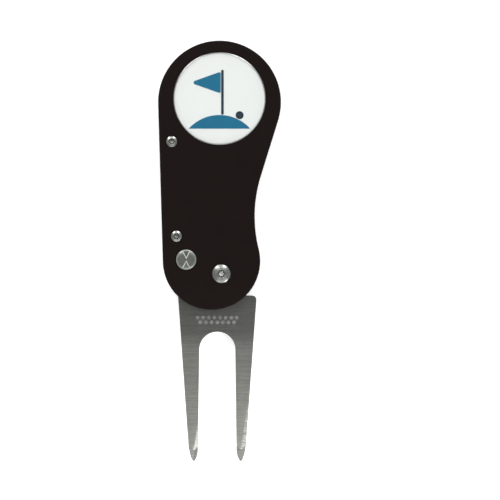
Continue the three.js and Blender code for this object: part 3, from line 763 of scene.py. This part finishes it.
def tip_flats(side):
    """The flats ground on a tine's end: a long one down its right edge, and two that meet at the tip."""
    tip_x = FORK_AXIS + side * TIP_HALF
    edge = FORK_AXIS + (END_HALF if side > 0 else -SLOT_HALF_LOW)
    flat = RIGHT_FLAT if side > 0 else LEFT_FLAT
    face = FORK_HIGH.z
    reach = 3.2

    def long_flat(x, y):
        return face + flat["across"] * (edge - x) + flat["along"] * (y - flat["start"])

    def left_flat(x, y):
        return face + RIDGE_LEFT * (x - tip_x) + RIDGE_FALL * (y - RIDGE_START)

    def right_flat(x, y):
        return face - RIDGE_RIGHT * (x - tip_x) + RIDGE_FALL * (y - RIDGE_START)

    # The two flats at the tip get lit and shaded copies of one ground steel: the left one lighter, painted
    # light, and the right one darker, painted shade.
    flats = [
        (long_flat, ground(*flat["finish"])),
        (left_flat, ground("ground_tip_left_painted_light", (0.32, 0.32, 0.30), (0.20, 0.20, 0.19), 0.55)),
        (right_flat, ground("ground_tip_right_painted_shade", (0.21, 0.21, 0.195), (0.14, 0.14, 0.13), 0.58)),
    ]
    cutters = []
    for plane, material in flats:
        cutter = ground_facet((tip_x - reach, tip_x + reach), (TIP - PROUD, flat["start"] + reach), plane)
        paint(cutter, material)
        cutters.append(cutter)
    return cutters


def dimples():
    """Cutters for two staggered rows of small round marks across the fork, like those of a golf ball."""
    pitch, row_step = 1.55, 1.3
    radius, depth = 0.52, 0.04
    first_row = RIGHT_SHOULDER - 6.1
    face = FORK_HIGH.z
    bowl = [(0.05, face - depth), (0.5 * radius, face - 0.8 * depth), (radius, face), (radius, face + PROUD)]
    marks = []
    for row, count in enumerate((8, 7)):
        y = first_row - row * row_step
        for i in range(count):
            centre = Vector((FORK_AXIS + (i - (count - 1) / 2) * pitch, y))
            marks.append(turned("dimple", centre, bowl, segments=32))
    return joined(*marks)


def fork():
    low, high = FORK_LOW.z, FORK_HIGH.z
    under, over = low - PROUD, high + PROUD
    blade = prism("fork_blade", fork_outline(), low, high, top=0.07, bottom=0.07, steps=2)
    leg_hole = around(PIVOT, SPRING_TOP_ANGLE, SPRING_RADIUS, 0)
    clearance = 0.15
    inner = CATCH_RADIUS - CATCH_DEPTH / 2 - clearance
    half = CATCH_WIDTH / 2 + clearance
    holes = [
        drill(PIVOT, BARREL_RADIUS + 1.4 * CLEAR, under, over, segments=96),
        drill(leg_hole, SPRING_WIRE / 2 + 0.12, under, over, segments=32),
    ]
    for angle in (CATCH_ANGLE, CATCH_ANGLE - CLOSING_ANGLE):
        holes.append(block(PIVOT, angle, (inner, inner + 3), (-half, half), (under, over)))
    carve(blade, joined(*holes))
    paint(blade, brushed())
    marks = dimples()
    paint(marks, etched())
    for cutter in (marks, *tip_flats(-1), *tip_flats(1)):
        combine(blade, cutter, "DIFFERENCE", keep_material=True)
    finish(blade, "fork", "fork_steel", None, "fork")


# ---------------------------------------------------------------- fasteners, spring and latch


def lobed(centre, radius, wave=0.13, points=96):
    """The outline of a six-lobed driver recess."""
    outline = []
    for i in range(points):
        angle = 2 * math.pi * i / points
        r = radius * (1 - wave + wave * math.cos(6 * angle))
        outline.append(centre + r * Vector((math.cos(angle), math.sin(angle))))
    return outline


def driver_socket(centre, radius, floor, top, painted_glint):
    """A cutter for a lobed recess: tapered walls painted dark, as painted shade, and a floor, a shallow cone,
    painted bright in the given colour, as a painted highlight.
    """
    narrow_wave = 0.2
    rings = [
        [(*point, floor - 0.1 * radius) for point in lobed(centre, 0.05 * radius, narrow_wave)],
        [(*point, floor) for point in lobed(centre, 0.62 * radius, narrow_wave)],
        [(*point, top - PROUD) for point in lobed(centre, radius)],
        [(*point, top) for point in lobed(centre, radius)],
    ]
    cutter = new_object("socket", loft(rings))
    # The walls get a dark copy of turned steel, painted shade in the recess, and the cone a bright one, a
    # painted highlight.
    walls = turned_steel("socket_wall_painted_shade", centre, (0.10, 0.11, 0.10), (0.05, 0.055, 0.05), 0.45)
    cone = turned_steel("socket_floor_painted_glint", centre, painted_glint, [0.75 * tone for tone in painted_glint], 0.3)
    paint(cutter, walls, cone)
    for face in cutter.data.polygons:
        if all(cutter.data.vertices[v].co.z < floor + SEAT for v in face.vertices):
            face.material_index = 1
    return cutter


def domed_screw(name, node, centre, head, shank, seat, recess, painted_glint):
    """A screw with a low domed head and a lobed recess; recess is its radius, painted_glint the painted
    highlight colour of its floor.
    """
    low, high = span(node)
    crown = 0.19 * head
    bend = (head**2 + crown**2) / (2 * crown)  # the dome's radius
    steps = 14
    dome = []
    for i in range(steps + 1):
        r = head * (1 - 0.9 * i / steps)
        dome.append((r, high.z - bend + math.sqrt(bend**2 - r**2)))
    dome[0] = (*dome[0], 0.08)
    point = 0.2  # chamfer at the shank's end
    corners = [
        (shank - point, low.z),
        (shank, low.z + point),
        (shank, seat + SEAT),
        (head, seat + SEAT, 0.06),
        *dome,
    ]
    body = turned(name, centre, corners)
    mouth_z = high.z - 0.03
    cone = [(0.9 * recess, mouth_z - 0.1 * recess), (1.08 * recess, mouth_z), (1.08 * recess, high.z + PROUD)]
    countersink = turned("countersink", centre, cone)
    socket = driver_socket(centre, recess, (high.z + seat) / 2, high.z + PROUD, painted_glint)
    carve(body, countersink)
    paint(body, turned_steel(name + "_steel", centre, (0.40, 0.41, 0.38), (0.28, 0.29, 0.265), 0.24))
    combine(body, socket, "DIFFERENCE", keep_material=True)
    finish(body, "handle", "fastener_steel", None, node)


def pivot_barrel():
    """The nut of the pivot: a slotted flange in the back cover and a sleeve that the fork turns on."""
    low, high = span("pivot_barrel")
    flange_top = low.z + BARREL_FLANGE - SEAT
    bore = PIVOT_SHANK + CLEAR
    bore_floor = 2.2
    corners = [
        (0.5, low.z),
        (PIVOT_HEAD, low.z, 0.2),
        (PIVOT_HEAD, flange_top),
        (BARREL_RADIUS, flange_top),
        (BARREL_RADIUS, high.z, 0.1),
        (bore, high.z, 0.1),
        (bore, bore_floor),
    ]
    body = turned("barrel", PIVOT, corners)
    across = PIVOT_HEAD + PROUD
    carve(body, block(PIVOT, 0, (-across, across), (-0.35, 0.35), (-PROUD, low.z + 0.45)))
    material = turned_steel("barrel_steel", PIVOT, STEEL_LIGHT, STEEL_DARK)
    finish(body, "handle", "fastener_steel", material, "pivot_barrel")


def washers():
    material = copper_alloy("bronze", PIVOT, (0.45, 0.27, 0.12), (0.30, 0.17, 0.075))
    edge = 0.04
    for node in ("back_washer", "front_washer"):
        low, high = span(node)
        section = rectangle((BARREL_RADIUS + CLEAR, (high.x - low.x) / 2), (low.z, high.z))
        ring = turned(node + "_ring", PIVOT, [(*corner, edge) for corner in section], closed=True)
        finish(ring, "handle", "bronze", material, node)


def standoffs():
    for name, place in SCREWS.items():
        node = "standoff_" + name
        low, high = span(node)
        bore = SHANK_RADIUS + CLEAR
        corners = [
            (STANDOFF_RADIUS - 0.3, low.z),
            (STANDOFF_RADIUS, low.z, 0.1),
            (STANDOFF_RADIUS, high.z, 0.1),
            (bore, high.z, 0.1),
            (bore, low.z + 0.8),
        ]
        material = copper_alloy("brass_" + name, place, (0.62, 0.45, 0.16), (0.46, 0.32, 0.11))
        finish(turned("post_" + name, place, corners, segments=64), "handle", "brass", material, node)


def stop_pin():
    low, high = span("stop_pin")
    end = 0.4  # radius where its flat ends begin
    corners = [(end, low.z), (PIN_RADIUS, low.z, 0.15), (PIN_RADIUS, high.z, 0.15), (end, high.z)]
    material = turned_steel("pin_steel", STOP_PIN, STEEL_LIGHT, STEEL_DARK)
    pin = turned("stop_dowel", STOP_PIN, corners, segments=64)
    finish(pin, "handle", "fastener_steel", material, "stop_pin")


def torsion_spring():
    """The coil, with its lower leg in the back cover's slot and its upper leg up in the fork."""
    floor = SPRING_POCKET[2]
    low = floor + 0.05 + SPRING_WIRE / 2
    high = FORK_LOW.z - 0.08 - SPRING_WIRE / 2
    end = SPRING_TOP_ANGLE + 4 * math.pi
    steps = 170
    path = []
    for reach in (1.0, 0.8, 0.6, 0.4, 0.2):
        along = around(PIVOT, SPRING_LEG_ANGLE, SPRING_RADIUS, -SPRING_LEG * reach)
        path.append(Vector((*along, low)))
    for i in range(steps + 1):
        share = i / steps
        place = around(PIVOT, SPRING_LEG_ANGLE + (end - SPRING_LEG_ANGLE) * share, SPRING_RADIUS, 0)
        path.append(Vector((*place, low + (high - low) * share)))
    top = path[-1]
    bend = 0.5
    for i in range(1, 6):
        angle = math.radians(90) * i / 5
        along = around(PIVOT, SPRING_TOP_ANGLE + bend * math.sin(angle) / SPRING_RADIUS, SPRING_RADIUS, 0)
        path.append(Vector((*along, top.z + bend * (1 - math.cos(angle)))))
    leg = path[-1]
    path += [leg + Vector((0, 0, rise)) for rise in (0.4, 0.8, 1.1)]
    rings = []
    sides = 14
    for i, point in enumerate(path):
        ahead = (path[min(i + 1, len(path) - 1)] - path[max(i - 1, 0)]).normalized()
        outward = Vector((*(point.xy - PIVOT), 0)).normalized()
        across = (outward - ahead * outward.dot(ahead)).normalized()
        up = ahead.cross(across)
        ring = []
        for k in range(sides):
            angle = 2 * math.pi * k / sides
            ring.append(point + SPRING_WIRE / 2 * (across * math.cos(angle) + up * math.sin(angle)))
        rings.append(ring)
    coil = new_object("coil_spring", loft(rings))
    return coil, low, high


def latch_leaf():
    """The leaf, with the catch that stands up from it into the tang's notch."""
    leaf = prism("leaf", leaf_outline(0.0), LEAF_LOW.z, LEAF_TOP, top=0.06, bottom=0.06, steps=2)
    carve(leaf, drill(LEAF_SCREW, SHANK_RADIUS + CLEAR, LEAF_LOW.z - PROUD, LEAF_TOP + PROUD))
    depths = (CATCH_RADIUS - CATCH_DEPTH / 2, CATCH_RADIUS + CATCH_DEPTH / 2)
    widths = (-CATCH_WIDTH / 2, CATCH_WIDTH / 2)
    catch = block(PIVOT, CATCH_ANGLE, depths, widths, (LEAF_LOW.z + 0.05, LEAF_HIGH.z))
    combine(leaf, catch, "UNION")
    return leaf


def latch_screw():
    low, high = span("latch_screw")
    head = 1.3
    corners = [
        (0.5, low.z),
        (SHANK_RADIUS, low.z, 0.1),
        (SHANK_RADIUS, LEAF_TOP + SEAT),
        (head, LEAF_TOP + SEAT),
        (head, high.z, 0.18),
        (0.5, high.z),
    ]
    body = turned("leaf_screw", LEAF_SCREW, corners, segments=64)
    carve(body, block(LEAF_SCREW, 0, (-2, 2), (-0.2, 0.2), (high.z - 0.3, high.z + PROUD)))
    material = turned_steel("leaf_screw_steel", LEAF_SCREW, STEEL_LIGHT, STEEL_DARK)
    finish(body, "handle", "fastener_steel", material, "latch_screw")


def lock_button():
    """The button, with a low sloping rim and two V-shaped hollows that meet point to point on its face."""
    low, high = span("lock_button")
    flange_low = BUTTON_FLANGE_TOP - 0.7
    stem = 1.4
    rim_width, rim_fall = 0.42, 0.19
    corners = [
        (0.6, low.z),
        (stem, low.z, 0.1),
        (stem, flange_low, 0.1),
        (BUTTON_FLANGE, flange_low, 0.1),
        (BUTTON_FLANGE, BUTTON_FLANGE_TOP, 0.1),
        (BUTTON_RADIUS, BUTTON_FLANGE_TOP),
        (BUTTON_RADIUS, high.z - rim_fall, 0.08),
        (BUTTON_RADIUS - rim_width, high.z),
        (1.0, high.z),
    ]
    body = turned("button", BUTTON, corners)
    # The hollows' walls get a light steel, a painted highlight along the V lines, and their floors a dark,
    # rougher steel, painted shade in the hollows.
    wall = turned_steel("button_hollow_wall_painted_highlight", BUTTON, (0.60, 0.61, 0.58), (0.50, 0.51, 0.48), 0.4)
    face_steel = turned_steel("button_steel", BUTTON, (0.31, 0.32, 0.285), (0.24, 0.25, 0.22), 0.30)
    rim = turned_steel("button_rim_steel", BUTTON, (0.31, 0.32, 0.295), (0.25, 0.26, 0.24), 0.34)
    floor = turned_steel("button_hollow_floor_painted_shade", BUTTON, (0.24, 0.27, 0.25), (0.11, 0.13, 0.12), 0.5)
    paint(body, face_steel, rim)
    for face in body.data.polygons:
        outside = (face.center.xy - BUTTON).length > BUTTON_RADIUS - rim_width
        face.material_index = int(outside and face.center.z > BUTTON_FLANGE_TOP)
    tip, reach, half_width, depth = 0.2, 2.26, 1.08, 0.2  # of a hollow, tip and reach from the middle
    slant = 0.2  # how far its walls lean in
    for side in (1, -1):
        rings = []
        for z, inset in ((high.z - depth, slant), (high.z, 0.0), (high.z + PROUD, 0.0)):
            near = side * (tip + 2.2 * inset)
            far = side * (reach - 0.2 * inset)
            bulge = side * (reach + 0.08 - 0.2 * inset)
            half = half_width - 1.35 * inset
            corners = [(0, near), (half, far), (0.5 * half, bulge), (-0.5 * half, bulge), (-half, far)]
            rings.append([(BUTTON.x + x, BUTTON.y + y, z) for x, y in corners])
        cutter = new_object("hollow", loft(rings))
        paint(cutter, wall, floor)
        for face in cutter.data.polygons:
            if all(abs(cutter.data.vertices[v].co.z - high.z + depth) < SEAT for v in face.vertices):
                face.material_index = 1
        combine(body, cutter, "DIFFERENCE", keep_material=True)
    finish(body, "button", "button_steel", None, "lock_button")


# ---------------------------------------------------------------- ball marker

CUP_LOW, CUP_HIGH = span("marker_cup")
RIM_WIDTH = 0.25
PRINT_LOW, PRINT_HIGH = span("marker_print")
PRINT_RADIUS = (PRINT_HIGH - PRINT_LOW).x / 2
INK = 0.03
FLAT_FACE = 11.0  # radius where the marker's flat undersides begin


def marker_cup():
    inner = MARKER_RADIUS - RIM_WIDTH
    corners = [
        (FLAT_FACE, CUP_LOW.z),
        (MARKER_RADIUS, CUP_LOW.z, 0.3),
        (MARKER_RADIUS, CUP_HIGH.z - 0.06, 0.02),
        (MARKER_RADIUS - 0.16, CUP_HIGH.z),
        (inner, CUP_HIGH.z, 0.03),
        (inner, PRINT_LOW.z - SEAT),
    ]
    cup = turned("cup", MARKER, corners, segments=192)
    plate = nickel("marker_nickel", (0.54, 0.535, 0.52), (0.46, 0.455, 0.44))
    finish(cup, "marker", "marker_metal", plate, "marker_cup")


def marker_print():
    """The white disc and the emblem on it."""
    face = PRINT_HIGH.z - INK
    corners = [(FLAT_FACE, PRINT_LOW.z), (PRINT_RADIUS, PRINT_LOW.z), (PRINT_RADIUS, face), (FLAT_FACE, face)]
    disc = turned("print_disc", MARKER, corners, segments=192)
    white = printed("white_ink", (0.92, 0.955, 0.93), (0.90, 0.935, 0.91))
    finish(disc, "marker", "marker_print", white, "marker_print")
    emblem(face)


def marker_dome():
    low, high = span("marker_dome")
    crown = 0.2
    edge = high.z - crown
    corners = [(FLAT_FACE, low.z), (PRINT_RADIUS, low.z), (PRINT_RADIUS, edge, 0.05)]
    steps = 24
    for i in range(1, steps):
        share = 1 - i / steps
        corners.append((PRINT_RADIUS * share, edge + crown * (1 - share**2)))
    dome = turned("dome", MARKER, corners, segments=192)
    finish(dome, "marker", "clear_resin", resin(), "marker_dome")


def marker_magnet():
    low, high = span("marker_magnet")
    radius = (high - low).x / 2
    corners = [(3.0, low.z), (radius, low.z, 0.12), (radius, high.z, 0.12), (3.0, high.z)]
    plate = nickel("magnet_nickel", (0.42, 0.42, 0.41), (0.34, 0.34, 0.33))
    finish(turned("magnet", MARKER, corners), "handle", "magnet", plate, "marker_magnet")


def emblem(face):
    """A plain golf motif in two inks on the disc: a pennant on its pole, and a ball, standing on a green."""
    teal = printed("teal_ink", (0.0, 0.165, 0.30), (0.0, 0.14, 0.265))
    navy = printed("navy_ink", (0.011, 0.030, 0.046), (0.008, 0.023, 0.038))
    hill, hill_radius = Vector((0, -15.9)), 11.4
    gap = 0.12
    pole_x, pole_half, pole_top = 0.8, 0.36, 7.9
    left, right = pole_x - pole_half, pole_x + pole_half
    foot = hill.y + hill_radius + gap
    pole = [(left, foot, 0.1), (right, foot, 0.1), (right, pole_top, 0.3), (left, pole_top, 0.3)]
    pennant = [(left - gap, 7.4, 0.35), (left - 8.6, 4.4, 0.5), (left - gap, 1.4, 0.35)]
    ball_radius = 1.1
    ball_angle = math.radians(64)
    ball = hill + (hill_radius + gap + ball_radius) * Vector((math.cos(ball_angle), math.sin(ball_angle)))
    shapes = [
        ("pole", navy, rounded(pole, True)),
        ("pennant", teal, rounded(pennant, True)),
        ("green", teal, arc(hill, hill_radius, math.radians(42), math.radians(138), 60)),
        ("ball", navy, arc(ball, ball_radius, 0, 2 * math.pi, 48)[:-1]),
    ]
    for name, ink, outline in shapes:
        shape = prism("emblem_" + name, [MARKER + point for point in outline], face + 0.002, face + INK)
        finish(shape, "marker", "marker_print", ink)


# ---------------------------------------------------------------- the whole tool

# The painted_glint colours are painted highlights on the recess floors: bright in the pivot screw, duller in
# the cover screws.
PIVOT_SCREW = {
    "head": PIVOT_HEAD,
    "shank": PIVOT_SHANK,
    "seat": PIVOT_SEAT,
    "recess": 1.3,
    "painted_glint": STEEL_LIGHT,
}
COVER_SCREW = {
    "head": SCREW_HEAD,
    "shank": SHANK_RADIUS,
    "seat": SCREW_SEAT,
    "recess": 1.0,
    "painted_glint": DULL_PAINTED_GLINT,
}


def tool():
    front_cover()
    back_cover()
    spine()
    fork()
    domed_screw("pivot_bolt", "pivot_screw", PIVOT, **PIVOT_SCREW)
    for name, place in SCREWS.items():
        domed_screw("bolt_" + name, "cover_screw_" + name, place, **COVER_SCREW)
    pivot_barrel()
    washers()
    standoffs()
    stop_pin()
    lock_button()
    marker_cup()
    marker_print()
    marker_dome()
    marker_magnet()
    latch_screw()

    spring_steel = drawn_steel()
    leaf = latch_leaf()
    finish(leaf, None, "spring_steel", spring_steel, "latch_leaf")
    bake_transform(leaf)
    coil, low, high = torsion_spring()
    finish(coil, None, "spring_steel", spring_steel, "torsion_spring")
    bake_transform(coil)


# ---------------------------------------------------------------- stage, light and camera


def floor():
    """A pale table that glows a little, as a light table does, so that shadows on it stay faint."""
    f = Finish("floor_paper", roughness=0.9, Specular_IOR_Level=0.1, Emission_Strength=0.45)
    f.shader.inputs["Emission Color"].default_value = (1, 1, 1, 1)
    mottle = f.noise(f.place, 0.01, 2.0)
    material = f.use(Base_Color=f.blend(mottle, (0.90, 0.90, 0.90), (0.93, 0.93, 0.93)))
    bm = bmesh.new()
    bmesh.ops.create_circle(bm, cap_ends=True, radius=4.0, segments=96)
    sheet = new_object("floor", bm)
    sheet.location.z = BACK_FACE * MM - 0.0001
    paint(sheet, material)


def softbox(name, azimuth, tilt, distance, size, brightness, target=(0, 0, 5), spread=180):
    """A flat lamp that faces target from an azimuth, in degrees from +X, and a tilt away from overhead.

    brightness compares with the studio's, sizes are in millimetres and spread is the angle that it lights.
    """
    a, t = math.radians(azimuth), math.radians(tilt)
    towards = Vector((math.sin(t) * math.cos(a), math.sin(t) * math.sin(a), math.cos(t)))
    lamp = bpy.data.lights.new(name, "AREA")
    lamp.shape = "RECTANGLE"
    lamp.size, lamp.size_y = size[0] * MM, size[1] * MM
    lamp.energy = brightness * math.pi * lamp.size * lamp.size_y
    lamp.spread = math.radians(spread)
    made = bpy.data.objects.new(name, lamp)
    bpy.context.scene.collection.objects.link(made)
    made.location = (Vector(target) + distance * towards) * MM
    made.rotation_mode = "QUATERNION"
    made.rotation_quaternion = (-towards).to_track_quat("-Z", "Y")
    made.visible_camera = False


def studio_world():
    """A studio room: bright low down all round, and dark overhead where the camera stands."""
    world = bpy.data.worlds.new("studio")
    world.use_nodes = True
    nodes, links = world.node_tree.nodes, world.node_tree.links
    coordinates = nodes.new("ShaderNodeTexCoord")
    split = nodes.new("ShaderNodeSeparateXYZ")
    links.new(coordinates.outputs["Generated"], split.inputs[0])
    height = nodes.new("ShaderNodeMapRange")
    height.interpolation_type = "SMOOTHSTEP"
    for socket, value in (("From Min", 0.44), ("From Max", 0.78), ("To Min", 1.9), ("To Max", 0.34)):
        height.inputs[socket].default_value = value
    links.new(split.outputs["Z"], height.inputs["Value"])
    background = nodes["Background"]
    background.inputs["Color"].default_value = (1, 1, 1, 1)
    links.new(height.outputs["Result"], background.inputs["Strength"])
    bpy.context.scene.world = world


VIEW_WIDTH = 137.4  # what the camera sees across, at the front face
VIEW_CENTRE = Vector((8.38, 0.33))
CAMERA_DISTANCE = 1500.0


def camera():
    data = bpy.data.cameras.new("camera")
    data.sensor_width = 36.0
    data.lens = data.sensor_width * CAMERA_DISTANCE / VIEW_WIDTH
    data.clip_end = 10.0
    made = bpy.data.objects.new("camera", data)
    bpy.context.scene.collection.objects.link(made)
    made.location = Vector((*VIEW_CENTRE, FRONT_FACE + CAMERA_DISTANCE)) * MM
    bpy.context.scene.camera = made


def stage():
    floor()
    studio_world()
    softbox("head_left", 122, 38, 420, (110, 120), 6.5)
    softbox("head_right", 68, 38, 420, (110, 120), 6.5)
    softbox("heel", -90, 36, 420, (300, 110), 1.0)
    softbox("tips", -43, 35, 130, (60, 60), 0.75, (0, -62, 5), 36)
    bpy.context.scene.view_settings.view_transform = "Standard"
    camera()


tool()
stage()
